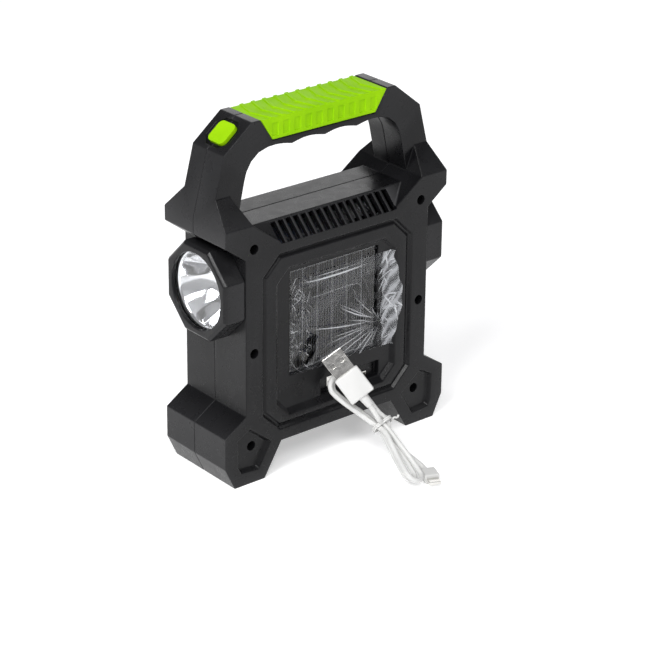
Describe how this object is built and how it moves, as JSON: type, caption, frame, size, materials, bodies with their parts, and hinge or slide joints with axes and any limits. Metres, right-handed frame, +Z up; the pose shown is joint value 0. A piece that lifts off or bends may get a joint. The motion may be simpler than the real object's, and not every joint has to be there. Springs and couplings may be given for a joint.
{
  "type": "solar flood light",
  "caption": "Portable carry-handle work light with a solar panel on the back, a flood lamp on the front, torch heads on both sides and a tied charging cable",
  "frame": {"origin": "on the floor, at the middle of the lamp's footprint (bottom centre of its box, without the loose cable)", "axes": "+Z up; the flood lamp faces -Y and the solar panel faces +Y; the torch with the power button above it is on +X"},
  "size_m": [0.148, 0.1151, 0.1917],
  "materials": {
    "housing_black": "fine moulded satin",
    "grip_green": "soft satin",
    "button_green": "satin",
    "clear_lens": "clear polished",
    "solar_resin": "clear gloss",
    "clear_film": "crinkled clear gloss",
    "chrome_reflector": "mirror",
    "solar_cell": "gloss",
    "circuit_board": "satin",
    "white_board": "satin",
    "led_chip": "gloss",
    "seal_rubber": "matte",
    "aluminium_sink": "satin",
    "steel_screw": "satin",
    "inner_plastic": "matte",
    "white_plastic": "satin",
    "cell_wrap": "gloss",
    "nickel_plate": "satin",
    "cable_white": "satin",
    "wire_red": "satin"
  },
  "bodies": {
    "root": {"rear_housing": "housing_black", "front_housing": "housing_black", "handle_grip": "grip_green", "switch_body": "inner_plastic", "switch_board": "circuit_board", "solar_board": "inner_plastic", "solar_cells": "solar_cell", "solar_cover": "solar_resin", "protective_film": "clear_film", "torch_bezel": "housing_black", "torch_lens": "clear_lens", "torch_seal": "seal_rubber", "torch_reflector": "chrome_reflector", "torch_led_board": "white_board", "torch_led": "led_chip", "side_lamp_bezel": "housing_black", "side_lamp_lens": "clear_lens", "side_lamp_seal": "seal_rubber", "side_lamp_reflector": "chrome_reflector", "side_lamp_led_board": "white_board", "side_lamp_led": "led_chip", "flood_bezel": "housing_black", "flood_lens": "clear_lens", "flood_gasket": "seal_rubber", "flood_reflector": "chrome_reflector", "flood_led_board": "white_board", "flood_leds": "led_chip", "heat_sink": "aluminium_sink", "heat_sink_screws": "steel_screw", "battery_holder": "inner_plastic", "battery_cell_upper": "cell_wrap", "battery_cell_lower": "cell_wrap", "battery_contacts": "nickel_plate", "control_board": "circuit_board", "control_components": "inner_plastic", "port_board": "circuit_board", "usb_output_socket": "nickel_plate", "charging_socket": "nickel_plate", "board_screws": "steel_screw", "housing_screws": "steel_screw", "panel_leads": "wire_red", "usb_plug_shell": "nickel_plate", "usb_plug_body": "cable_white", "cable_lead": "cable_white", "cable_hank": "cable_white", "cable_tie": "cable_white", "cable_tail": "cable_white", "charge_plug_body": "cable_white", "charge_plug_tip": "nickel_plate"},
    "button": {"power_button": "button_green", "switch_plunger": "white_plastic"}
  },
  "joints": [
    {"name": "button_press", "type": "slide", "parent": "root", "child": "button", "axis": [-0.6263, 0, -0.7796], "range_m": [0, 0.0015], "stiffness_N_per_m": 800, "springref_m": -0.001}
  ]
}
